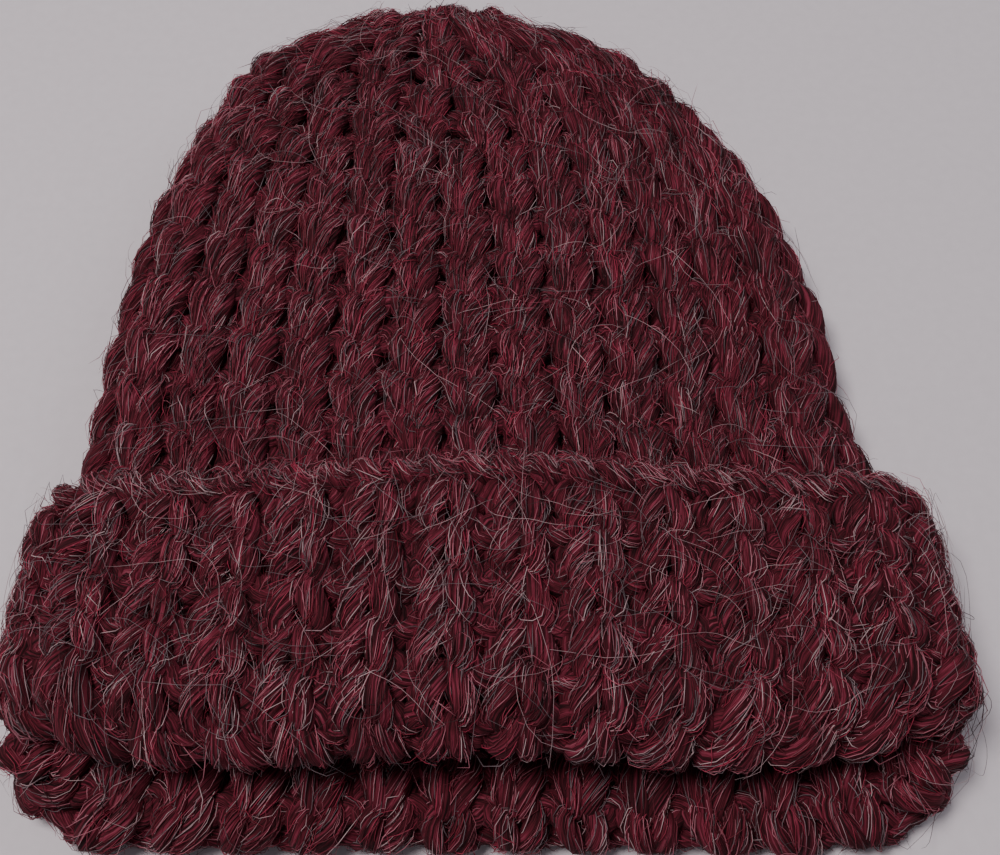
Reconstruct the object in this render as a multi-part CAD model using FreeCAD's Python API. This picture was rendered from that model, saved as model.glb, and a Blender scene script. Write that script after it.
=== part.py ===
import FreeCAD, Part
import math
import os

# A hand-knitted 1x1 rib cap with a turned-up cuff, lying on its back half.
# +X runs to the right, +Y from the mouth towards the crown, +Z up.
# The cap is one knitted tube. Each node is one zone of that tube, in knitting order.

# ---- driving dimensions, millimetres ----
FABRIC = 8.0            # thickness of the rib fabric, which is about one and a half yarns
YARN = 5.0              # the yarn where it is pulled tight
LAYER_GAP = 0.4         # air between the turned-up cuff and the wall behind it
PRESS = 0.8             # how far the soft underside is pressed flat by the floor

CUFF_HALF_AT_EDGE = 105.0    # outside half width at the cast-on edge
CUFF_HALF_AT_LIP = 110.0     # outside half width at the mouth
CUFF_SIDE_ROLL = 14.4        # bend radius of the cuff's side fold, mid fabric
WALL_SIDE_ROLL = 6.0         # the same for the wall nested inside it
CUFF_RISE = 6.0              # how much higher the front is at the middle than at its sides

LIP_Y = -112.6          # fold's tip, on the plane halfway up the cap
EDGE_Y = -56.0          # cast-on edge, on the same plane
EDGE_BEAD = 9.0         # length of the cast-on loops along the wale
TILT = 0.58             # the back half reaches further forward: Y gained per millimetre of height
LIP_BOW = 13.0          # how far the side folds draw the lip back
LIP_BOW_LIFT = 10.0     # how much more of that the front half has, and less the back half
EDGE_BOW = 3.0          # how far they draw the cast-on edge back

BODY_HALF = 95.0        # outside half width of the body at the cuff
BODY_SHIFT = 4.0        # the body comes out of the cuff this far to the left of its middle
BODY_START_Y = -42.6    # the body's outline is half an ellipse from here
BODY_END_Y = 122.4      # to here
BODY_SHOULDER = 2.6     # power of that outline: 2 is a true ellipse, more has wider shoulders
BODY_SIDE_ROLL = 8.0
BODY_RISE = 7.0
BODY_REACHES_FLOOR_Y = -14.6
SQUARE_Y = 21.4         # past this line the rounds stand square to the Y axis
CROWN_LEAN = 14.0       # the crown lies this much further to the left

RIB_END_Y = 39.0        # last straight round
DECREASE_END_Y = 84.0   # last round of the first decreases
TOP_END_Y = 109.4       # the last round of stitches before they are gathered
GATHER_Y = [110.9, 113.9, 116.7, 118.7, 119.9]

CLOSING_RING_RADIUS = 6.5
CLOSING_RING_Y = 113.9

# ---- what follows from them ----
HALF_FABRIC = FABRIC / 2
LAYER_STEP = FABRIC + LAYER_GAP
CUFF_LOW = HALF_FABRIC - PRESS
WALL_LOW = CUFF_LOW + LAYER_STEP
BODY_LOW = CUFF_LOW
FOLD_RADIUS = FABRIC + LAYER_GAP / 2
FOLD_Y = LIP_Y + FOLD_RADIUS
MIDDLE_Z = WALL_LOW + WALL_SIDE_ROLL

# The flattened tube is drawn through these places on its girth. Whole numbers are
# where straight and bent stretches meet: 0 back centre, 1 to 2 the right side fold,
# 3 front centre, 4 to 5 the left side fold, 6 back centre again.
STEPS = [(0, 1, 5), (1, 2, 8), (2, 4, 12), (4, 5, 8), (5, 6, 5)]
GIRTH = []
for first, last, count in STEPS:
    for index in range(count):
        GIRTH.append(first + (last - first) * index / count)


def blend(start, end, share):
    """Go smoothly from start to end as share goes from 0 to 1."""
    share = min(max(share, 0.0), 1.0)
    return start + (end - start) * share * share * (3 - 2 * share)


def girth_point(place, half_width, low, roll, rise):
    """X and Z of one place on the flattened tube's girth."""
    flat = half_width - roll
    if place < 1:
        return flat * place, low
    if place < 2:
        bend = math.pi * (place - 1)
        return flat + roll * math.sin(bend), low + roll * (1 - math.cos(bend))
    if place <= 4:
        across = 3 - place
        return flat * across, low + 2 * roll + rise * math.cos(math.pi * across / 2) ** 2
    if place < 5:
        bend = math.pi * (place - 4)
        return -flat - roll * math.sin(bend), low + roll * (1 + math.cos(bend))
    return flat * (place - 6), low


def settle(x, z, half_width, y, lean=0.0):
    """Put a girth point in space: tilted and bowed near the mouth, square near the crown."""
    slack = 1 - blend(0, 1, (y - EDGE_Y) / (SQUARE_Y - EDGE_Y))
    from_lip = min((y - LIP_Y) / (EDGE_Y - LIP_Y), 1.0)
    bow = LIP_BOW + (EDGE_BOW - LIP_BOW) * from_lip
    bow += LIP_BOW_LIFT * (1 - from_lip) * (z - MIDDLE_Z) / MIDDLE_Z
    shift = slack * (TILT * (z - MIDDLE_Z) + bow * (abs(x) / half_width) ** 4)
    return FreeCAD.Vector(x - lean, y + shift, z)


def cuff_point(place, y, offset):
    """A point of the turned-up layer, offset outwards from the middle of the fabric."""
    share = (y - LIP_Y) / (EDGE_Y - LIP_Y)
    half = CUFF_HALF_AT_LIP + (CUFF_HALF_AT_EDGE - CUFF_HALF_AT_LIP) * share
    half = half - HALF_FABRIC + offset
    x, z = girth_point(place, half, CUFF_LOW - offset, CUFF_SIDE_ROLL + offset, CUFF_RISE)
    return settle(x, z, half, y)


def body_shape(y):
    """Half width, lowest height, side roll, rise and lean of the body, mid fabric."""
    along = max(y - BODY_START_Y, 0) / (BODY_END_Y - BODY_START_Y)
    ellipse = BODY_HALF * math.sqrt(max(1 - along ** BODY_SHOULDER, 0)) - HALF_FABRIC
    share = (y - LIP_Y) / (EDGE_Y - LIP_Y)
    nested = CUFF_HALF_AT_LIP + (CUFF_HALF_AT_EDGE - CUFF_HALF_AT_LIP) * share
    nested = nested - HALF_FABRIC - LAYER_STEP
    leaving = (y - EDGE_Y) / (BODY_REACHES_FLOOR_Y - EDGE_Y)
    half = blend(nested, ellipse, leaving)
    low = blend(WALL_LOW, BODY_LOW, leaving)
    roll = blend(WALL_SIDE_ROLL, BODY_SIDE_ROLL, leaving)
    rise = blend(CUFF_RISE, BODY_RISE, leaving)
    rise = blend(rise, 0.0, (y - RIB_END_Y) / (TOP_END_Y - RIB_END_Y))
    lean = blend(0.0, BODY_SHIFT, leaving) + CROWN_LEAN * (max(y, 0) / BODY_END_Y) ** 2
    return half, low, roll, rise, lean


def body_point(place, y, offset):
    """A point of the wall behind the cuff, of the body or of the crown."""
    half, low, roll, rise, lean = body_shape(y)
    half = half + offset
    x, z = girth_point(place, half, low - offset, roll + offset, rise)
    return settle(x, z, half, y, lean)


def smooth_edge(points):
    curve = Part.BSplineCurve()
    curve.interpolate(points)
    return curve.toShape()


def band(slices):
    """Join the slices, one for each place on the girth, into a closed ring of fabric."""
    ring = Part.makeLoft(slices, True, True, True)
    floor = Part.makeBox(400, 400, 20, FreeCAD.Vector(-200, -200, -20))
    return ring.cut(floor)


def wale_slice(point, place, start, end, count):
    """Outline of the fabric at one place on the girth, from Y start to Y end."""
    rows = [start + (end - start) * index / count for index in range(count + 1)]
    outside = [point(place, y, HALF_FABRIC) for y in rows]
    inside = [point(place, y, -HALF_FABRIC) for y in reversed(rows)]
    edges = [smooth_edge(outside)]
    edges.append(Part.makeLine(outside[-1], inside[0]))
    edges.append(smooth_edge(inside))
    edges.append(Part.makeLine(inside[-1], outside[0]))
    return Part.Wire(edges)


def rounded_end(outer, inner, reach):
    """Points of a half round from outer to inner that reaches out along Y."""
    centre = (outer + inner) * 0.5
    spoke = (outer - inner) * 0.5
    points = []
    for step in range(9):
        angle = math.pi * step / 8
        out = FreeCAD.Vector(0, reach * math.sin(angle), 0)
        points.append(centre + spoke * math.cos(angle) + out)
    return points


def bead_slice(place):
    """The cast-on loops: the end of the fabric, rounded off."""
    root = EDGE_Y - EDGE_BEAD
    tip = EDGE_Y - HALF_FABRIC
    outside = [cuff_point(place, root, HALF_FABRIC), cuff_point(place, tip, HALF_FABRIC)]
    inside = [cuff_point(place, tip, -HALF_FABRIC), cuff_point(place, root, -HALF_FABRIC)]
    edges = [Part.makeLine(outside[0], outside[1])]
    edges.append(smooth_edge(rounded_end(outside[1], inside[0], HALF_FABRIC)))
    edges.append(Part.makeLine(inside[0], inside[1]))
    edges.append(Part.makeLine(inside[1], outside[0]))
    return Part.Wire(edges)


def fold_slice(place):
    """The lip: the fabric bent back on itself, outside layer to inside layer."""
    outer = cuff_point(place, FOLD_Y, HALF_FABRIC)
    under_cuff = cuff_point(place, FOLD_Y, -HALF_FABRIC)
    on_wall = body_point(place, FOLD_Y, HALF_FABRIC)
    inner = body_point(place, FOLD_Y, -HALF_FABRIC)
    edges = [smooth_edge(rounded_end(outer, inner, -FOLD_RADIUS))]
    edges.append(Part.makeLine(inner, on_wall))
    edges.append(Part.makeLine(on_wall, under_cuff))
    edges.append(Part.makeLine(under_cuff, outer))
    return Part.Wire(edges)


def gather():
    """The last stitches, drawn together into a soft knob that closes the crown."""
    girths = []
    for step, y in enumerate([TOP_END_Y] + GATHER_Y):
        half, low, roll, rise, lean = body_shape(y)
        shrink = max(step - 2, 0) * 1.6
        half = max(half, roll + 1.0)
        points = []
        for place in GIRTH:
            x, z = girth_point(place, half + HALF_FABRIC - shrink, low - HALF_FABRIC + shrink,
                               roll + HALF_FABRIC - shrink, rise)
            points.append(FreeCAD.Vector(x - lean, y, z))
        girths.append(Part.makePolygon(points + [points[0]]))
    knob = Part.makeLoft(girths, True, True)
    floor = Part.makeBox(400, 400, 20, FreeCAD.Vector(-200, -200, -20))
    return knob.cut(floor)


def closing_ring():
    """The yarn end, threaded through the last stitches and pulled up."""
    half, low, roll, rise, lean = body_shape(CLOSING_RING_Y)
    centre = FreeCAD.Vector(-lean, CLOSING_RING_Y, low + roll)
    return Part.makeTorus(CLOSING_RING_RADIUS, YARN / 2, centre, FreeCAD.Vector(0, 1, 0))


def closing_end():
    """The rest of that end, woven in along the inside of the back half."""
    half, low, roll, rise, lean = body_shape(TOP_END_Y)
    resting = BODY_LOW + HALF_FABRIC + YARN / 2 + 0.2
    start = FreeCAD.Vector(-lean, TOP_END_Y, resting)
    turn_in = FreeCAD.Vector(-lean, TOP_END_Y - 16, resting)
    turn_mid = FreeCAD.Vector(-lean + 4, TOP_END_Y - 27, resting)
    turn_out = FreeCAD.Vector(-lean + 14, TOP_END_Y - 33, resting)
    end = FreeCAD.Vector(-lean + 30, TOP_END_Y - 37, resting)
    route = [Part.LineSegment(start, turn_in).toShape()]
    route.append(Part.Arc(turn_in, turn_mid, turn_out).toShape())
    route.append(Part.LineSegment(turn_out, end).toShape())
    section = Part.Wire(Part.makeCircle(YARN / 2, start, FreeCAD.Vector(0, -1, 0)))
    return Part.Wire(route).makePipeShell([section], True, False)


def fabric_band(point, start, end, count):
    return band([wale_slice(point, place, start, end, count) for place in GIRTH])


ring = closing_ring()
tail = closing_end()

NODES = {
    "cast_on_edge": band([bead_slice(place) for place in GIRTH]),
    "cuff_turn_up": fabric_band(cuff_point, FOLD_Y, EDGE_Y - EDGE_BEAD, 3),
    "cuff_fold": band([fold_slice(place) for place in GIRTH]),
    "cuff_inner_wall": fabric_band(body_point, FOLD_Y, EDGE_Y, 3),
    "body_rib": fabric_band(body_point, EDGE_Y, RIB_END_Y, 8),
    "crown_decreases": fabric_band(body_point, RIB_END_Y, DECREASE_END_Y, 5),
    "crown_top_rounds": fabric_band(body_point, DECREASE_END_Y, TOP_END_Y, 5),
    "crown_gather": gather().cut(ring),
    "closing_yarn": ring,
    "closing_end": tail,
}

os.makedirs("parts", exist_ok=True)
for name, shape in NODES.items():
    shape.exportStep("parts/" + name + ".step")
    box = shape.BoundBox
    print(name, "valid" if shape.isValid() else "NOT VALID", len(shape.Solids), "solid(s)",
          round(shape.Volume), "mm3", "X", round(box.XMin, 1), round(box.XMax, 1),
          "Y", round(box.YMin, 1), round(box.YMax, 1), "Z", round(box.ZMin, 1), round(box.ZMax, 1))
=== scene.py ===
# %% [markdown]
# # A hand-knitted rib cap with a turned-up cuff
#
# The real cap is one length of bulky, hairy yarn, knitted round and round into a tube.
# The brim is turned up once, the crown is pulled shut with the yarn's end, and the cap
# lies flat on its back half. Nothing in it is a solid wall: what the eye sees is yarn.
# So the fabric is made here as yarn too, one closed loop of yarn for each knitted round,
# instead of a smooth shell with a knit pattern painted on it. A painted pattern would look
# flat at the cuff's edge, at the lip and in the furrows between the ribs.

import math

import bmesh
import bpy
import numpy as np
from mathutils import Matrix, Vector


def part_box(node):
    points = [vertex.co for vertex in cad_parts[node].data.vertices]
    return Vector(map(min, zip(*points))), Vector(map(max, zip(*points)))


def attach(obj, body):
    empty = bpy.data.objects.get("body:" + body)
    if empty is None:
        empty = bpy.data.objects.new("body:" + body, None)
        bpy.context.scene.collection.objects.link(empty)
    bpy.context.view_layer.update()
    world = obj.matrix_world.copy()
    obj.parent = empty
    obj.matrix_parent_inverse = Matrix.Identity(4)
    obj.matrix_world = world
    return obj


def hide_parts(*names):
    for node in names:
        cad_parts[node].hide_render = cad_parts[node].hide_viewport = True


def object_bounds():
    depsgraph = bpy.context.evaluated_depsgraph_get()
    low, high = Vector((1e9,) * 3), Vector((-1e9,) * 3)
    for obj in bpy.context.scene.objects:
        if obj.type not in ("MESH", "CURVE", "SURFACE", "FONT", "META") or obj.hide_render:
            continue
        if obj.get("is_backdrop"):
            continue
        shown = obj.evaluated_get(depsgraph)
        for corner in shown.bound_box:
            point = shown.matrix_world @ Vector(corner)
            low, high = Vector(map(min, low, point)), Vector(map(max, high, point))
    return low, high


MM = 0.001
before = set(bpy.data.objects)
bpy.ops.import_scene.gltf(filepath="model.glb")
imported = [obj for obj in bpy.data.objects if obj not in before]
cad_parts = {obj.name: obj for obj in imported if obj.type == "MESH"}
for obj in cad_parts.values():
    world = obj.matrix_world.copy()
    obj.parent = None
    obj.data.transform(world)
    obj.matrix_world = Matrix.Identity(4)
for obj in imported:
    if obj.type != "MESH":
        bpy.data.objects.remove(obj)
cad_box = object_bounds()


def box_mm(node):
    """Lowest and highest corner of a frame node, in millimetres."""
    low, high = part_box(node)
    return Vector(low) / MM, Vector(high) / MM


print("frame nodes:", ", ".join(sorted(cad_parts)))

# %% [markdown]
# ## Camera, floor and light
#
# The cap is seen from above the mouth, from close by, so the cuff looks larger than the
# crown. A short distance with a normal lens gives that perspective. The floor is a plain
# pale sheet, and two large soft lamps with a dim sky light it, as under a cloudy window.

# %% Camera
CAMERA_ELEVATION = math.radians(63)
CAMERA_DISTANCE = 0.300
LENS_MM = 44.3
LOOK_AT = Vector((0.0035, -0.0226, 0.020))

camera_data = bpy.data.cameras.new("camera")
camera_data.lens = LENS_MM
camera_data.sensor_width = 36.0
camera_data.clip_start = 0.01
camera = bpy.data.objects.new("camera", camera_data)
bpy.context.scene.collection.objects.link(camera)
towards_camera = Vector((0, -math.cos(CAMERA_ELEVATION), math.sin(CAMERA_ELEVATION)))
camera.location = LOOK_AT + towards_camera * CAMERA_DISTANCE
camera.rotation_euler = (math.pi / 2 - CAMERA_ELEVATION, 0, 0)
bpy.context.scene.camera = camera
print("camera at", [round(c, 3) for c in camera.location])

# %% Floor
FLOOR_HALF = 3.0

floor_mesh = bpy.data.meshes.new("floor")
bm = bmesh.new()
bmesh.ops.create_grid(bm, x_segments=1, y_segments=1, size=FLOOR_HALF)
bm.to_mesh(floor_mesh)
bm.free()
floor = bpy.data.objects.new("floor", floor_mesh)
bpy.context.scene.collection.objects.link(floor)
floor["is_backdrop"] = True


# %% Light
def add_lamp(name, place, size, power, colour):
    """A round soft lamp that looks at the middle of the cap."""
    data = bpy.data.lights.new(name, "AREA")
    data.shape = "DISK"
    data.size = size
    data.energy = power
    data.color = colour
    lamp = bpy.data.objects.new(name, data)
    bpy.context.scene.collection.objects.link(lamp)
    lamp.location = place
    lamp.rotation_euler = (-Vector(place)).to_track_quat("-Z", "Y").to_euler()


KEY_POWER = 10.0
FILL_POWER = 3.0
WARM_WHITE = (1.0, 0.97, 0.95)
COOL_WHITE = (0.93, 0.96, 1.0)
SKY_STRENGTH = 0.22
add_lamp("key", (-0.35, -0.05, 1.0), 0.35, KEY_POWER, WARM_WHITE)
add_lamp("fill", (0.8, 0.5, 0.7), 0.7, FILL_POWER, COOL_WHITE)
world = bpy.data.worlds.new("sky")
world.use_nodes = True
sky = world.node_tree.nodes["Background"]
sky.inputs["Color"].default_value = (0.80, 0.80, 0.85, 1)
sky.inputs["Strength"].default_value = SKY_STRENGTH
bpy.context.scene.world = world

# %% [markdown]
# ## The sizes of the cap
#
# The zones of the knitted tube come from the frame: where the cuff, the rib, the decreases
# and the gathered tip begin and end. The bends, the slack and the lean are the same named
# values as in the design, so the yarn lies in the middle of the design's fabric walls.

# %% Sizes from the frame, in millimetres
LIP_HALF = box_mm("cuff_fold")[1].x          # half the cap's width at the lip
EDGE_HALF = box_mm("cast_on_edge")[1].x      # the same at the cast-on edge
RIB_END_Y = box_mm("body_rib")[1].y
DECREASE_END_Y = box_mm("crown_decreases")[1].y
TOP_END_Y = box_mm("crown_gather")[0].y
LAST_YARN = 3.5          # from the outside of the tip to the middle of its last yarn
APEX_Y = box_mm("crown_gather")[1].y - LAST_YARN
ring_low, ring_high = box_mm("closing_yarn")
RING_MIDDLE = (ring_low + ring_high) / 2
print("half widths", round(LIP_HALF, 1), round(EDGE_HALF, 1), "zones", [
    round(y, 1) for y in (RIB_END_Y, DECREASE_END_Y, TOP_END_Y, APEX_Y)])

# %% Bends and slack, in millimetres
YARN_STAND = 5.4         # the loops' outer side stands this far off the fabric's middle
LAYER_STEP = 8.4         # from the middle of one layer to the next
FLOOR_LAYER = 3.2        # middle of the layer that lies on the floor
WALL_LOW = FLOOR_LAYER + LAYER_STEP
CUFF_SIDE_ROLL = 14.4
WALL_SIDE_ROLL = 6.0
BODY_SIDE_ROLL = 8.0
MIDDLE_Z = WALL_LOW + WALL_SIDE_ROLL
CUFF_RISE = 6.0          # the front is this much higher in the middle than at its sides
BODY_RISE = 7.0
LIP_Y = -112.6
EDGE_Y = -56.0
FOLD_RADIUS = 8.2
FOLD_Y = LIP_Y + FOLD_RADIUS
TILT = 0.58              # the back half reaches further forward, per unit of height
LIP_BOW = 13.0           # the side folds draw the lip back this far
LIP_BOW_LIFT = 10.0      # more in the front half, less in the back half
EDGE_BOW = 3.0
BODY_HALF = 95.0
BODY_SHIFT = 4.0
BODY_START_Y = -42.6
BODY_END_Y = 122.4
BODY_SHOULDER = 2.6
BODY_ON_FLOOR_Y = -14.6
SQUARE_Y = 21.4
CROWN_LEAN = 14.0

# %% [markdown]
# ## The middle of the fabric
#
# A place on the flattened tube is given by two numbers. The share goes once round the girth:
# 0 at the back centre, a quarter at the right side fold, a half at the front centre. The
# course counts knitted rounds from the cast-on edge: down the cuff, round the lip, up the
# wall behind it, and up the body to the tip. The rounds, the fibres and the hairs are all
# placed with these two.


# %% A place on the girth
def blend(start, end, share):
    """Go smoothly from start to end as share goes from 0 to 1."""
    share = min(max(share, 0.0), 1.0)
    return start + (end - start) * share * share * (3 - 2 * share)


def girth_stretch(share, half, roll):
    """Turn a share of the girth into 0 to 6: flat, side fold, flat (2 long), side fold, flat."""
    share = share % 1.0
    flat = max(half - roll, 0.01)
    run = share * (4 * flat + 2 * math.pi * roll)
    for length, start, span in ((flat, 0, 1), (math.pi * roll, 1, 1), (2 * flat, 2, 2),
                                (math.pi * roll, 4, 1), (flat, 5, 1)):
        if run <= length:
            return start + span * run / length
        run -= length
    return 6.0


def girth_point(place, half, low, roll, rise):
    """X and Z of a place on the flattened tube."""
    flat = half - roll
    if place < 1:
        return flat * place, low
    if place < 2:
        bend = math.pi * (place - 1)
        return flat + roll * math.sin(bend), low + roll * (1 - math.cos(bend))
    if place <= 4:
        across = 3 - place
        return flat * across, low + 2 * roll + rise * math.cos(math.pi * across / 2) ** 2
    if place < 5:
        bend = math.pi * (place - 4)
        return -flat - roll * math.sin(bend), low + roll * (1 + math.cos(bend))
    return flat * (place - 6), low


def settle(x, z, half, y, lean=0.0):
    """Put a girth point in space: tilted and bowed near the mouth, square near the crown."""
    slack = 1 - blend(0, 1, (y - EDGE_Y) / (SQUARE_Y - EDGE_Y))
    from_lip = min((y - LIP_Y) / (EDGE_Y - LIP_Y), 1.0)
    bow = LIP_BOW + (EDGE_BOW - LIP_BOW) * from_lip
    bow += LIP_BOW_LIFT * (1 - from_lip) * (z - MIDDLE_Z) / MIDDLE_Z
    shift = slack * (TILT * (z - MIDDLE_Z) + bow * (abs(x) / half) ** 4)
    return Vector((x - lean, y + shift, z))


# %% The turned-up layer
def cuff_half(y):
    from_lip = (y - LIP_Y) / (EDGE_Y - LIP_Y)
    return LIP_HALF + (EDGE_HALF - LIP_HALF) * from_lip - YARN_STAND


def cuff_surface(share, y):
    half = cuff_half(y)
    place = girth_stretch(share, half, CUFF_SIDE_ROLL)
    x, z = girth_point(place, half, FLOOR_LAYER, CUFF_SIDE_ROLL, CUFF_RISE)
    return settle(x, z, half, y)


# %% The wall behind it, the body and the crown
CLOSED = 0.9995          # the outline's end, a hair short of its tip
CLOSING_Y = 94.0         # the last rounds are drawn in from here
TIP_SHRINK = 0.6         # and the very tip keeps this share of the outline
SIDE_SHORT = 1.5         # the side folds stop this far short of the tip
FIRST_LEAD_Y = -44.0
SIDE_LAG = 0.22
ROW_EASE = 0.11          # the rounds near the crown lie a little closer together


def body_shape(y):
    """Half width, lowest height, side roll, rise and lean of the body."""
    along = min(max(y - BODY_START_Y, 0) / (BODY_END_Y - BODY_START_Y), CLOSED)
    outline = BODY_HALF * math.sqrt(1 - along ** BODY_SHOULDER) - YARN_STAND
    leaving = (y - EDGE_Y) / (BODY_ON_FLOOR_Y - EDGE_Y)
    half = blend(cuff_half(y) - LAYER_STEP, outline, leaving)
    low = blend(WALL_LOW, FLOOR_LAYER, leaving)
    roll = blend(WALL_SIDE_ROLL, BODY_SIDE_ROLL, leaving)
    rise = blend(CUFF_RISE, BODY_RISE, leaving)
    rise = blend(rise, 0.0, (y - RIB_END_Y) / (TOP_END_Y - RIB_END_Y))
    lean = blend(0.0, BODY_SHIFT, leaving) + CROWN_LEAN * (max(y, 0) / BODY_END_Y) ** 2
    return max(half, roll + 0.02), low, roll, rise, lean


def side_lead(along):
    """How much further along Y a round of the body lies at its side folds than in its middle."""
    middle = FIRST_LEAD_Y + (APEX_Y - FIRST_LEAD_Y) * along * (1 + ROW_EASE * (1 - along))
    angle = math.pi / 2 * along * (1 - SIDE_LAG * (1 - along))
    side = BODY_START_Y + (APEX_Y - SIDE_SHORT - BODY_START_Y) * math.sin(angle)
    return max(side - middle, 0) * blend(0, 1, along / 0.25)


def body_surface(share, y):
    half, low, roll, rise, lean = body_shape(y)
    place = girth_stretch(share, half, roll)
    across = min(abs(3 - place) if 2 <= place <= 4 else 1.0, place if place < 1 else 1.0,
                 6 - place if place > 5 else 1.0)
    along = (y - FIRST_LEAD_Y) / (APEX_Y - FIRST_LEAD_Y)
    lead = side_lead(min(along, 1.0)) * across ** 2 if along > 0 else 0.0
    y_here = min(y + lead, max(y, APEX_Y + 1.0))
    half, low, roll, rise, lean = body_shape(y_here)
    x, z = girth_point(place, half, low, roll, rise)
    closing = blend(1.0, TIP_SHRINK, (y_here - CLOSING_Y) / (APEX_Y - CLOSING_Y))
    centre_z = body_shape(y)[1] + roll
    point = settle(x * closing, centre_z + (z - centre_z) * closing, half, y, lean)
    point.y += y_here - y
    return point


# %% Rounds of knitting and where they lie
CUFF_ROUNDS = 4.6
FOLD_ROUNDS = 2.0        # close together inside the bend, a full round apart on its outside
WALL_ROUNDS = 4.5
BODY_ROUNDS = 14.4
FOLD_END = CUFF_ROUNDS + FOLD_ROUNDS
WALL_END = FOLD_END + WALL_ROUNDS
LAST_COURSE = WALL_END + BODY_ROUNDS


def body_y(course):
    along = (course - WALL_END) / BODY_ROUNDS
    return EDGE_Y + (APEX_Y - EDGE_Y) * along * (1 + ROW_EASE * (1 - along))


def fabric_point(share, course):
    """The middle of the fabric at a share of the girth, counted in rounds from the edge."""
    if course < CUFF_ROUNDS:
        return cuff_surface(share, EDGE_Y - (EDGE_Y - FOLD_Y) * course / CUFF_ROUNDS)
    if course < FOLD_END:
        angle = math.pi * (course - CUFF_ROUNDS) / FOLD_ROUNDS
        outer = cuff_surface(share, FOLD_Y)
        inner = body_surface(share, FOLD_Y)
        spoke = (outer - inner) * 0.5
        out = Vector((0, -spoke.length * math.sin(angle), 0))
        return (outer + inner) * 0.5 + spoke * math.cos(angle) + out
    if course < WALL_END:
        return body_surface(share, FOLD_Y + (EDGE_Y - FOLD_Y) * (course - FOLD_END) / WALL_ROUNDS)
    return body_surface(share, body_y(course))


def fabric_frame(share, course):
    """That point, the tube's outward direction, and millimetres per share and per round."""
    step, rise = 0.002, 0.1
    round_way = (fabric_point(share + step, course) - fabric_point(share - step, course)) / (2 * step)
    wale_way = (fabric_point(share, course + rise) - fabric_point(share, course - rise)) / (2 * rise)
    normal = wale_way.cross(round_way).normalized()
    return fabric_point(share, course), normal, round_way, wale_way


def seen_side(course):
    """+1 where the tube's outside is seen, -1 up to the body: the turned-up layer, the lip
    and the wall seen through the mouth all show the tube's inside."""
    return -1 if course < WALL_END - 0.5 else 1


print("rounds of knitting", int(LAST_COURSE))
print("round height, cuff", round((EDGE_Y - FOLD_Y) / CUFF_ROUNDS, 1), "mm")

# %% [markdown]
# ## Wool, as the eye sees it
#
# The yarn is a heathered wool and hair singles: dyed burgundy fibres carded together with
# pale, grey and nearly black ones, then lightly twisted. Nothing in it shines. Each material
# is a matte fibre, and its colour drifts over a stitch or so, because carded wool is never
# evenly mixed. The pale and grey hairs are left undyed.

# %% Colour and node helpers
def linear(code):
    """An sRGB hex colour as linear RGBA."""
    channels = [int(code[i:i + 2], 16) / 255 for i in (0, 2, 4)]
    return tuple(c / 12.92 if c <= 0.04045 else ((c + 0.055) / 1.055) ** 2.4
                 for c in channels) + (1.0,)


def add_node(material, kind, inputs=None, **settings):
    """Add a node, set its properties and fill its sockets with values or with other outputs."""
    node = material.node_tree.nodes.new(kind)
    for name, value in settings.items():
        setattr(node, name, value)
    for socket, value in (inputs or {}).items():
        if isinstance(value, bpy.types.NodeSocket):
            material.node_tree.links.new(value, node.inputs[socket])
        else:
            node.inputs[socket].default_value = value
    return node


def add_ramp(material, factor, stops):
    """A colour ramp with its stops given as (place, hex colour)."""
    ramp = add_node(material, "ShaderNodeValToRGB", {"Fac": factor})
    elements = ramp.color_ramp.elements
    elements[0].position, elements[0].color = stops[0][0], linear(stops[0][1])
    elements[1].position, elements[1].color = stops[-1][0], linear(stops[-1][1])
    for place, code in stops[1:-1]:
        elements.new(place).color = linear(code)
    return ramp.outputs["Color"]


def new_material(name, roughness):
    material = bpy.data.materials.new(name)
    material.use_nodes = True
    shader = material.node_tree.nodes["Principled BSDF"]
    shader.inputs["Roughness"].default_value = roughness
    return material, shader


# %% Matte painted floor board
FLOOR_GRAIN_MM = 3.0     # roller texture of the paint
floor_paint, shader = new_material("matte_painted_board", 0.8)
place = add_node(floor_paint, "ShaderNodeTexCoord").outputs["Object"]
grain = add_node(floor_paint, "ShaderNodeTexNoise", {"Vector": place, "Scale": 1 / (FLOOR_GRAIN_MM * MM),
                                                     "Detail": 3.0}).outputs["Fac"]
paint = add_ramp(floor_paint, grain, [(0.3, "cdc3c9"), (0.7, "d1c7cd")])
floor_paint.node_tree.links.new(paint, shader.inputs["Base Color"])
bump = add_node(floor_paint, "ShaderNodeBump", {"Height": grain, "Strength": 0.15, "Distance": 0.0003})
floor_paint.node_tree.links.new(bump.outputs["Normal"], shader.inputs["Normal"])
floor.data.materials.append(floor_paint)

# %% The yarn's packed core
TWIST_PER_MM = 0.22      # radians: the yarn turns once in about 29 mm
STREAK_LENGTH_MM = 7.0
STREAKS_ROUND = 5.0      # noise cells for one radius of the yarn
FIBRE_RELIEF = 0.0005    # the bundles of fibres stand this far out of the core, m


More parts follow.
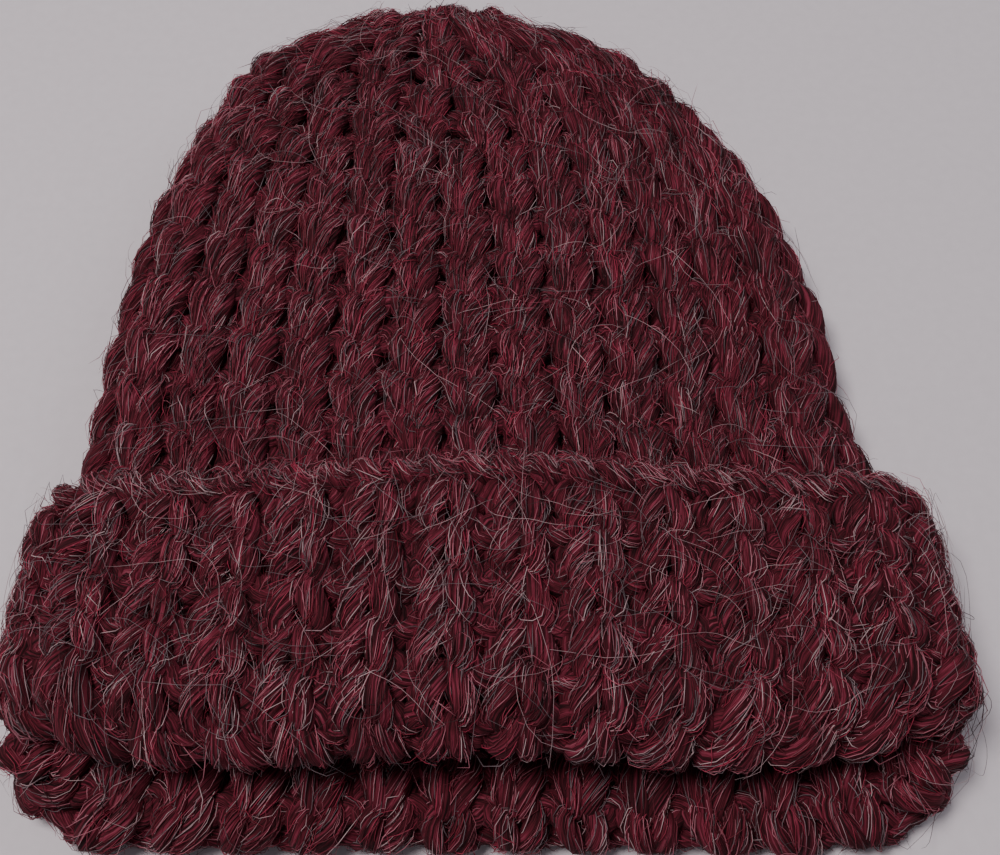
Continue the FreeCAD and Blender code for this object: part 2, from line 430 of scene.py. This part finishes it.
def yarn_core():
    """Packed fibres between and below the loose ones: dark, streaked along the twist.

    The piece's UV map holds millimetres along the yarn and turns round it.
    """
    material, shader = new_material("heathered_wool_core", 0.9)
    uv = add_node(material, "ShaderNodeUVMap").outputs["UV"]
    split = add_node(material, "ShaderNodeSeparateXYZ", {"Vector": uv})
    twist = add_node(material, "ShaderNodeMath", {0: split.outputs["X"], 1: TWIST_PER_MM},
                     operation="MULTIPLY").outputs[0]
    angle = add_node(material, "ShaderNodeMath", {0: split.outputs["Y"], 1: 2 * math.pi, 2: twist},
                     operation="MULTIPLY_ADD").outputs[0]
    cosine = add_node(material, "ShaderNodeMath", {0: angle}, operation="COSINE").outputs[0]
    sine = add_node(material, "ShaderNodeMath", {0: angle}, operation="SINE").outputs[0]
    along = add_node(material, "ShaderNodeMath", {0: split.outputs["X"], 1: STREAK_LENGTH_MM},
                     operation="DIVIDE").outputs[0]
    place = add_node(material, "ShaderNodeCombineXYZ", {"X": along, "Y": cosine, "Z": sine})
    spread = add_node(material, "ShaderNodeMapping", {"Vector": place.outputs[0],
                                                      "Scale": (1, STREAKS_ROUND, STREAKS_ROUND)})
    streak = add_node(material, "ShaderNodeTexNoise", {"Vector": spread.outputs[0], "Scale": 1.0,
                                                       "Detail": 3.0, "Roughness": 0.65}).outputs["Fac"]
    stops = [(0.34, "180306"), (0.45, "330b13"), (0.54, "541623"), (0.63, "76283b"), (0.74, "8e4a57")]
    material.node_tree.links.new(add_ramp(material, streak, stops), shader.inputs["Base Color"])
    relief = add_node(material, "ShaderNodeBump", {"Height": streak, "Strength": 1.0,
                                                   "Distance": FIBRE_RELIEF})
    material.node_tree.links.new(relief.outputs["Normal"], shader.inputs["Normal"])
    shader.inputs["Specular IOR Level"].default_value = 0.2
    return material


CORE = yarn_core()

# %% Loose fibres and guard hairs
DRIFT_MM = 9.0           # the colour drifts about once a stitch


def wool_fibre(name, darker, lighter, roughness):
    """One shade of carded fibre: a matte hair whose colour drifts between two hex colours."""
    material, shader = new_material("wool_fibre_" + name, roughness)
    place = add_node(material, "ShaderNodeTexCoord").outputs["Object"]
    drift = add_node(material, "ShaderNodeTexNoise", {"Vector": place, "Scale": 1 / (DRIFT_MM * MM),
                                                      "Detail": 2.0}).outputs["Fac"]
    colour = add_ramp(material, drift, [(0.38, darker), (0.62, lighter)])
    material.node_tree.links.new(colour, shader.inputs["Base Color"])
    shader.inputs["Specular IOR Level"].default_value = 0.35
    return material


# name, darker and lighter hex colour, roughness, share of the loose fibres of each area; the heathered mix
# is the yarn's own, but its tilt to paler fibres on the cuff and darker ones on the crown is painted light,
# the cuff front lit brighter
SHADES = [
    ("crimson", "6c1829", "9e2f48", 0.50, {"cuff": 0.21, "body": 0.22, "crown": 0.23}),
    ("burgundy", "4c141f", "782a3a", 0.55, {"cuff": 0.19, "body": 0.27, "crown": 0.30}),
    ("dark", "1f070b", "3a1015", 0.60, {"cuff": 0.07, "body": 0.13, "crown": 0.14}),
    ("rose", "8c4855", "b06b79", 0.45, {"cuff": 0.24, "body": 0.17, "crown": 0.15}),
    ("grey", "58494e", "7c6a70", 0.55, {"cuff": 0.17, "body": 0.16, "crown": 0.15}),
    ("undyed", "987a80", "b99c9f", 0.45, {"cuff": 0.12, "body": 0.05, "crown": 0.03}),
]
FIBRE = {name: wool_fibre(name, dark, light, rough) for name, dark, light, rough, parts in SHADES}
print("materials", [m.name for m in bpy.data.materials])

# %% [markdown]
# ## Yarn as a curve
#
# A strand is a curve with round thickness, turned into a mesh once it is placed. The spline
# bends smoothly through the loop's few points, and each point has its own thickness, so the
# yarn swells where it lies free and thins where a neighbour squeezes it.


# %% Strands
def strand_mesh(name, paths, smooth, closed, sides, steps=1):
    """One mesh made of strands, each given as (points in mm, radius in mm at each point)."""
    curve = bpy.data.curves.new(name, "CURVE")
    curve.dimensions = "3D"
    for spots, radii in paths:
        spline = curve.splines.new("NURBS" if smooth else "POLY")
        spline.points.add(len(spots) - 1)
        places = np.ones((len(spots), 4), np.float32)
        places[:, :3] = np.asarray(spots) * MM
        spline.points.foreach_set("co", places.ravel())
        spline.points.foreach_set("radius", np.asarray(radii, np.float32))
        spline.use_cyclic_u = closed
        if smooth:
            spline.order_u = 4
            spline.use_endpoint_u = not closed
    curve.resolution_u = steps
    curve.bevel_mode = "OBJECT"
    curve.bevel_object = section(sides)
    curve.use_fill_caps = not closed
    source = bpy.data.objects.new(name + "_route", curve)
    bpy.context.scene.collection.objects.link(source)
    graph = bpy.context.evaluated_depsgraph_get()
    mesh = bpy.data.meshes.new_from_object(source.evaluated_get(graph))
    bpy.data.objects.remove(source)
    mesh.name = name
    mesh.shade_smooth()
    piece = bpy.data.objects.new(name, mesh)
    bpy.context.scene.collection.objects.link(piece)
    return piece


SECTIONS = {}


def section(sides):
    """The strand's cross-section, a ring of that many sides, 1 mm in radius."""
    if sides not in SECTIONS:
        data = bpy.data.curves.new("section_%d" % sides, "CURVE")
        ring = data.splines.new("POLY")
        ring.points.add(sides - 1)
        for index, target in enumerate(ring.points):
            angle = 2 * math.pi * index / sides
            target.co = (MM * math.cos(angle), MM * math.sin(angle), 0, 1)
        ring.use_cyclic_u = True
        SECTIONS[sides] = bpy.data.objects.new("section_%d" % sides, data)
        bpy.context.scene.collection.objects.link(SECTIONS[sides])
    return SECTIONS[sides]


TALLY = {"triangles": 0}


def dress(piece, material):
    """Give a piece its finish and its body, and count its triangles."""
    piece.data.materials.clear()
    piece.data.materials.append(material)
    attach(piece, "root")
    count = sum(len(face.vertices) - 2 for face in piece.data.polygons)
    TALLY["triangles"] += count
    return count


def measure_uv(piece, spots):
    """Stretch the UV map so that U is millimetres along the yarn."""
    spots = np.asarray(spots)
    length = float(np.linalg.norm(np.diff(spots, axis=0), axis=1).sum())
    layer = piece.data.uv_layers[0].data
    values = np.zeros(len(layer) * 2, np.float32)
    layer.foreach_get("uv", values)
    values[0::2] *= length
    layer.foreach_set("uv", values)
    return length


# %% [markdown]
# ## One stitch
#
# A knitted loop starts low between its neighbours, comes up in front of the loop below,
# spreads, and closes behind the loop above. A purl stitch is the same loop seen from behind.
# In one-by-one rib the two take turns, so the knit loops close up into upright columns and
# the purl loops sink into the furrows between them.

# %% The loop's path
# X in stitch columns from the loop's middle, Y in rounds, lift in mm towards the loop's own
# face, and thickness. The right half mirrors this left half.
HALF_LOOP = [
    (-0.25, -0.02, 0.0, 0.80),
    (-0.15, -0.06, -0.5, 0.78),
    (-0.07, 0.08, -0.2, 0.85),
    (-0.09, 0.34, 1.9, 1.00),
    (-0.18, 0.70, 2.4, 1.10),
    (-0.26, 1.00, 1.8, 1.02),
    (-0.22, 1.26, 0.5, 0.85),
    (-0.08, 1.38, 0.2, 0.80),
]
LOOP = HALF_LOOP + [(-x, y, lift, fat) for x, y, lift, fat in reversed(HALF_LOOP[1:])]
LOOP_POINTS = len(LOOP)
PRESSED = 1.02           # strands on the floor lie on it, with their middles a radius up


COLUMNS = 28             # knit columns round the cap, with as many purl columns between
FIRST_DECREASE = WALL_END + 8.5
SECOND_DECREASE = WALL_END + 10.5


def columns_in(course):
    """Knit columns left in a round, after the crown's two sets of decreases."""
    if course < FIRST_DECREASE:
        return COLUMNS
    if course < SECOND_DECREASE:
        return COLUMNS * 3 // 4
    return COLUMNS // 2


CUFF_YARN, BODY_YARN = 3.05, 3.0         # radius in mm
TIP_THINNER = 0.25       # by this much less at the tip, where it is packed tighter


def yarn_radius(course):
    """Radius of the yarn in mm: a little less up the body, and less again at the tip."""
    plain = blend(CUFF_YARN, BODY_YARN, (course - FOLD_END) / 2)
    return plain - blend(0, TIP_THINNER, (course - WALL_END - 9) / 4)


# %% Work a round
def work_round(course, dice):
    """Control points and radii of one round of yarn in mm, and the way its seen side faces."""
    columns = columns_in(course)
    radius = yarn_radius(course)
    spots, radii, outward = [], [], []
    for stitch in range(2 * columns):
        own_face = 1 if stitch % 2 == 0 else -1
        size = dice.uniform(0.92, 1.06)
        slant = dice.uniform(-0.06, 0.06)
        rise = dice.uniform(-0.07, 0.07)
        puff = dice.uniform(-0.5, 0.4)
        fat = dice.uniform(0.9, 1.1)
        for x, y, lift, thick in LOOP:
            wander = dice.uniform(-0.015, 0.015)
            share = (stitch * 0.5 + x * size + slant * y + wander) / columns
            centre, normal, _, _ = fabric_frame(share, course + y + rise)
            spot = centre + normal * own_face * (lift + (puff if lift > 1 else 0))
            fatness = radius * thick * fat * dice.uniform(0.95, 1.05)
            spot.z = max(spot.z, fatness * PRESSED)
            spots.append(spot)
            radii.append(fatness)
            outward.append(normal * seen_side(course))
    return np.array(spots), np.array(radii), np.array(outward)


# %% Knit the cap, zone by zone
def zone_of(course):
    """The frame's zone that a round belongs to."""
    if course < CUFF_ROUNDS - 0.5:
        return "cuff_turn_up"
    if course < FOLD_END:
        return "cuff_fold"
    if course < WALL_END:
        return "cuff_inner_wall"
    if body_y(course) < RIB_END_Y:
        return "body_rib"
    if body_y(course) < DECREASE_END_Y:
        return "crown_decreases"
    return "crown_top_rounds"


YARN_SIDES = 6
dice = np.random.default_rng(11)
rounds = {}
yarn_length = 0.0
for course in range(int(LAST_COURSE)):
    spots, radii, outward = work_round(course, dice)
    rounds[course] = (spots, radii, outward)
    piece = strand_mesh("%s_round_%02d" % (zone_of(course), course + 1), [(spots, radii)],
                        True, True, YARN_SIDES, 2)
    yarn_length += measure_uv(piece, spots)
    dress(piece, CORE)
    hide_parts(zone_of(course))
print("yarn in the rounds", round(yarn_length / 1000, 1), "m,", TALLY["triangles"], "triangles")

# %% [markdown]
# ## The cast-on edge
#
# A long-tail cast-on leaves a second strand that wraps the feet of the first round, once
# for each stitch. It shows as a row of small bumps along the cuff's free edge. It is one
# closed strand that spirals along that edge.

# %% Cast-on strand
EDGE_RADIUS = 2.4
# X in stitches, Y in rounds, lift in mm towards the side that is seen
CAST_ON_WRAP = [(0.05, 0.12, 2.2), (0.30, -0.18, 2.6), (0.55, -0.34, 0.2), (0.80, -0.12, -2.2)]
spots, radii, outward = [], [], []
for stitch in range(2 * columns_in(0)):
    for x, y, lift in CAST_ON_WRAP:
        share = (stitch + x + dice.uniform(-0.05, 0.05)) * 0.5 / columns_in(0)
        centre, normal, _, wale_way = fabric_frame(share, y + dice.uniform(-0.03, 0.03))
        spot = centre - normal * lift
        spot.z = max(spot.z, EDGE_RADIUS * PRESSED)
        spots.append(spot)
        radii.append(EDGE_RADIUS * dice.uniform(0.9, 1.1))
        outward.append(-normal - wale_way.normalized())
cast_on = strand_mesh("cast_on_strand", [(spots, radii)], True, True, YARN_SIDES, 2)
measure_uv(cast_on, spots)
print("cast-on strand", dress(cast_on, CORE), "triangles")
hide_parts("cast_on_edge")
cast_on_strand = (np.array(spots), np.array(radii), np.array(outward))

# %% [markdown]
# ## The gathered tip
#
# The last stitches stay open until the yarn's end is drawn through them and pulled up. They
# bunch into a small rosette of loops round a ring of yarn, and the rest of the end is
# woven in along the inside, out of sight.

# %% Rosette of the last loops
PETALS = 11
GATHER_RADIUS = 2.1
TIP_LOP = 4.0            # the rosette stands this much further out on its right
TIP_WIDE = 1.6           # it is flattened like the cap, so it is wider than it is high
# share from the petal's middle, mm from the ring's axis, mm along +Y; one half mirrors the other
HALF_PETAL = [(0.10, 1.4, 0.5), (0.22, 3.4, 4.4), (0.26, 6.2, 2.6), (0.16, 8.4, -3.0)]
PETAL = [(-side, out, ahead) for side, out, ahead in HALF_PETAL] + HALF_PETAL[::-1]
spots, radii = [], []
for petal in range(PETALS):
    middle = (petal + 0.5 + dice.uniform(-0.15, 0.15)) / PETALS
    puff = dice.uniform(-0.7, 0.9)
    for side, out, ahead in PETAL:
        angle = 2 * math.pi * (middle + side / PETALS) - math.pi / 2
        ahead += puff + TIP_LOP * max(math.cos(angle), 0) if ahead > 1 else 0
        spot = RING_MIDDLE + Vector((out * TIP_WIDE * math.cos(angle), ahead, out * math.sin(angle)))
        spots.append(spot)
        radii.append(GATHER_RADIUS * dice.uniform(0.9, 1.1))
gather = strand_mesh("crown_rosette", [(spots, radii)], True, True, YARN_SIDES, 2)
measure_uv(gather, spots)
print("rosette", dress(gather, CORE), "triangles")
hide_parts("crown_gather")
BEHIND_RING = Vector((0, 6, 0))          # its fibres point away from a spot this far back
tip_outward = np.array(spots) - np.array(RING_MIDDLE - BEHIND_RING)
tip_strand = (np.array(spots), np.array(radii), tip_outward)

# %% Drawn-up ring and woven-in end
RING_RADIUS = 5.6
DRAWN_RADIUS = 1.5       # the yarn is thin where it is pulled tight
RING_POINTS = 28
spots = []
for index in range(RING_POINTS):
    angle = 2 * math.pi * index / RING_POINTS
    weave = 0.9 if index % 2 else -0.9
    spots.append(RING_MIDDLE + Vector((RING_RADIUS * math.cos(angle), weave, RING_RADIUS * math.sin(angle))))
ring = strand_mesh("drawn_up_yarn", [(spots, [DRAWN_RADIUS] * RING_POINTS)], True, True, YARN_SIDES, 2)
measure_uv(ring, spots)
dress(ring, CORE)
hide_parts("closing_yarn")

end_low, end_high = box_mm("closing_end")
start = Vector((end_low.x + 2.5, end_high.y, (end_low.z + end_high.z) / 2))
finish = Vector((end_high.x - 2.5, end_low.y + 2.5, start.z))
END_TURNS = 5
spots = []
for index in range(2 * END_TURNS + 1):
    along = index / (2 * END_TURNS)
    bend = along ** 3                      # straight down the inside first, then off to the right
    dip = 0.8 if index % 2 else -0.8       # in and out of the purl loops
    spots.append(Vector((start.x + (finish.x - start.x) * bend,
                         start.y + (finish.y - start.y) * along, start.z + dip)))
woven = strand_mesh("woven_in_end", [(spots, [DRAWN_RADIUS * 1.2] * len(spots))], True, False, YARN_SIDES, 2)
length = measure_uv(woven, spots)
print("woven-in end", round(length), "mm,", dress(woven, CORE), "triangles")
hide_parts("closing_end")

# %% [markdown]
# ## Loose fibres
#
# A smooth strand would look like rope. What makes it wool is the fibres: each one comes out
# of the strand, runs a few millimetres along it with the twist, and dives back in or stands
# off. They are real hairs here, thin three-sided tubes, because they have to soften the
# outline and cross the furrows as well as streak the yarn. Their places are worked out with
# arrays for a whole round at once, as there are tens of thousands of them.


# %% Along a round's spline
def along_spline(values, place):
    """The cubic spline through a closed row of control values, at fractional places."""
    base = np.floor(place).astype(int)
    f = (place - base)[..., None] if values.ndim > 1 else place - base
    weights = ((1 - f) ** 3 / 6, (3 * f ** 3 - 6 * f ** 2 + 4) / 6,
               (-3 * f ** 3 + 3 * f ** 2 + 3 * f + 1) / 6, f ** 3 / 6)
    return sum(weights[k] * values[(base + k - 1) % len(values)] for k in range(4))


def unit(vectors):
    return vectors / np.maximum(np.linalg.norm(vectors, axis=-1, keepdims=True), 1e-9)


# %% Fibres on a strand
FIBRE_STEPS = 5          # points along one fibre
LOOSE_PART = 0.45        # fibres that stand off at one end
STEP_TWIST = 0.55        # radians of twist per control point of the yarn


def lay_fibres(strand, place, dice):
    """Fibre paths in mm on a strand, one around each of the given places along it."""
    spots, radii, outward = strand
    count = len(place)
    span = dice.uniform(1.0, 2.9, count) * dice.choice((-1, 1), count)
    t = np.linspace(0, 1, FIBRE_STEPS)[None, :]
    at = place[:, None] + span[:, None] * (t - 0.5)
    tangent = unit(along_spline(spots, at + 0.05) - along_spline(spots, at - 0.05))
    away = along_spline(outward, at)
    away = unit(away - (away * tangent).sum(-1, keepdims=True) * tangent)
    across = np.cross(tangent, away)
    loose = dice.random(count) < LOOSE_PART
    swing = dice.normal(0, np.where(loose, 1.1, 0.3))
    angle = dice.normal(0, 0.95, count)[:, None] + STEP_TWIST * span[:, None] * (t - 0.5)
    angle = angle + swing[:, None] * t ** 2
    arch = -0.25 + dice.uniform(0.35, 0.95, count)[:, None] * np.sin(math.pi * t)
    stand_off = -0.15 + dice.gamma(1.6, 0.75, count)[:, None] * t ** 1.4
    lift = np.where(loose[:, None], stand_off, arch) + dice.normal(0, 0.09, (count, FIBRE_STEPS))
    reach = along_spline(radii, at) + lift
    paths = along_spline(spots, at) + reach[..., None] * (
        np.cos(angle)[..., None] * away + np.sin(angle)[..., None] * across)
    curl = dice.normal(0, 0.5, (count, 3)) * loose[:, None]
    paths = paths + curl[:, None, :] * np.sin(2 * math.pi * t)[..., None]
    paths[..., 2] = np.maximum(paths[..., 2], 0.2)
    return paths


# %% Where a round's fibres grow
UNDERSIDE_Z = 9.0        # stitches lower than this lie against the floor
LEG_PLACES = (4.2, 10.8)     # control points in the middle of a loop's two legs
HEAD_PLACE = 7.5


def round_fibres(course, per_column, dice):
    """Fibres of one round, mostly on the legs of loops that face out, fewer of them underneath."""
    spots = rounds[course][0]
    stitches = np.arange(len(spots) // LOOP_POINTS)
    facing = np.where(stitches % 2 == 0, 1, -1) == seen_side(course)
    low = spots[stitches * LOOP_POINTS + LOOP_POINTS // 3, 2] < UNDERSIDE_Z
    weight = np.where(facing, 1.0, 0.25) * np.where(low & (course > WALL_END), 0.45, 1.0)
    count = per_column * columns_in(course)
    stitch = dice.choice(stitches, count, p=weight / weight.sum())
    on_leg = dice.choice(LEG_PLACES, count) + dice.normal(0, 1.5, count)
    on_head = HEAD_PLACE + dice.normal(0, 2.2, count)
    place = stitch * LOOP_POINTS + np.where(facing[stitch], on_leg, on_head)
    return lay_fibres(rounds[course], place, dice)


# %% Lay the fibres
SEEN_PER_COLUMN = 87
HIDDEN_PER_COLUMN = 12
PER_CAST_ON_POINT = 14
PER_TIP_POINT = 12
TAPER = np.array([0.55, 0.95, 1.0, 0.85, 0.30])
THINNEST, THICKEST = 0.07, 0.12          # radius in mm, several times a real fibre's, to show


def is_hidden(course):
    """The wall between the mouth and the body is out of sight behind the cuff."""
    return FOLD_END + 1.5 < course < WALL_END - 0.8


dice = np.random.default_rng(5)
courses = range(int(LAST_COURSE))
grown = {"cuff": [], "body": [], "crown": []}
for course in courses:
    area = "cuff" if course < WALL_END - 0.8 else "body" if course < WALL_END + 8 else "crown"
    per_column = HIDDEN_PER_COLUMN if is_hidden(course) else SEEN_PER_COLUMN
    grown[area].append(round_fibres(course, per_column, dice))
for area, strand, per_point in (("cuff", cast_on_strand, PER_CAST_ON_POINT),
                                ("crown", tip_strand, PER_TIP_POINT)):
    places = dice.uniform(0, len(strand[0]), per_point * len(strand[0]))
    grown[area].append(lay_fibres(strand, places, dice))

for area, batches in grown.items():
    paths = np.concatenate(batches)
    dice.shuffle(paths)
    first = 0
    # The areas' shares carry painted light: more pale fibres on the brighter-lit cuff, more dark ones on the
    # crown
    for name, dark, light, rough, parts in SHADES:
        last = first + int(parts[area] * len(paths))
        widths = dice.uniform(THINNEST, THICKEST, last - first)
        strands = [(path, TAPER * width) for path, width in zip(paths[first:last], widths)]
        piece = strand_mesh("%s_fibres_%s" % (area, name), strands, False, False, 3)
        print(piece.name, last - first, "fibres", dress(piece, FIBRE[name]), "triangles")
        first = last

# %% [markdown]
# ## Guard hairs
#
# The longest hairs are stiff and undyed. They arch over the stitches, curl, and stick out
# past the outline. Each is walked over the fabric in small steps: a heading that slowly
# turns, and a height above the stitches that rises and falls.

# %% Walk a hair over the fabric
HAIR_STEPS = 11


def hair_path(share, course, length, dice):
    heading = dice.uniform(0, 2 * math.pi)
    turn = dice.normal(0, 0.055)             # radians per mm
    step = length / (HAIR_STEPS - 1)
    root, tip = dice.uniform(-1.4, 0.4), dice.uniform(-0.8, 2.6)
    arch = abs(dice.normal(0, 0.9))
    points = []
    for index in range(HAIR_STEPS):
        t = index / (HAIR_STEPS - 1)
        centre, normal, round_way, wale_way = fabric_frame(share, course)
        height = YARN_STAND + root + (tip - root) * t ** 2 + arch * math.sin(math.pi * t)
        spot = centre + normal * height * seen_side(course)
        spot.z = max(spot.z, 0.3)
        points.append(spot)
        heading += turn * step + dice.normal(0, 0.12)
        share += step * math.cos(heading) / max(round_way.length, 40.0)
        course += step * math.sin(heading) / wale_way.length
        if not -0.4 < course < LAST_COURSE - 0.6:
            heading = -heading
            course = min(max(course, -0.4), LAST_COURSE - 0.6)
    return points


# %% Strew the hairs
HAIR_COUNT = 1100
FRONT_PART = 0.8
HAIR_TAPER = np.array([0.7] + [1.0] * (HAIR_STEPS - 4) + [0.85, 0.65, 0.35])
# finish, share of the hairs, radius in mm
HAIR_KINDS = [("undyed", 0.26, 0.055), ("grey", 0.44, 0.06), ("dark", 0.30, 0.07)]

dice = np.random.default_rng(23)
for name, part, width in HAIR_KINDS:
    strands = []
    for _ in range(int(HAIR_COUNT * part)):
        share = dice.uniform(0.22, 0.78) if dice.random() < FRONT_PART else dice.uniform(0, 1)
        if dice.random() < 0.5:
            course = dice.uniform(-0.3, CUFF_ROUNDS + 0.5)
        else:
            course = dice.uniform(WALL_END + 0.3, LAST_COURSE - 1.0)
        length = min(5 + dice.gamma(1.6, 6.5), 50)
        strands.append((hair_path(share, course, length, dice), HAIR_TAPER * width))
    piece = strand_mesh("guard_hairs_" + name, strands, False, False, 3)
    print(piece.name, len(strands), "hairs", dress(piece, FIBRE[name]), "triangles")

# %% [markdown]
# ## Sizes and finish
#
# The cross-sections were only tools, so they go. The visual model's box is printed beside
# the design's box, because the yarn may stand a little proud of the plain walls but must
# not change the cap's size.

# %% Sizes and the end
for ring in SECTIONS.values():
    bpy.data.objects.remove(ring)
visual_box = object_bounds()
for name, corners in (("design", cad_box), ("visual", visual_box)):
    print(name, "box, mm:", [[round(c / MM, 1) for c in corner] for corner in corners])
print("triangles in all", TALLY["triangles"])
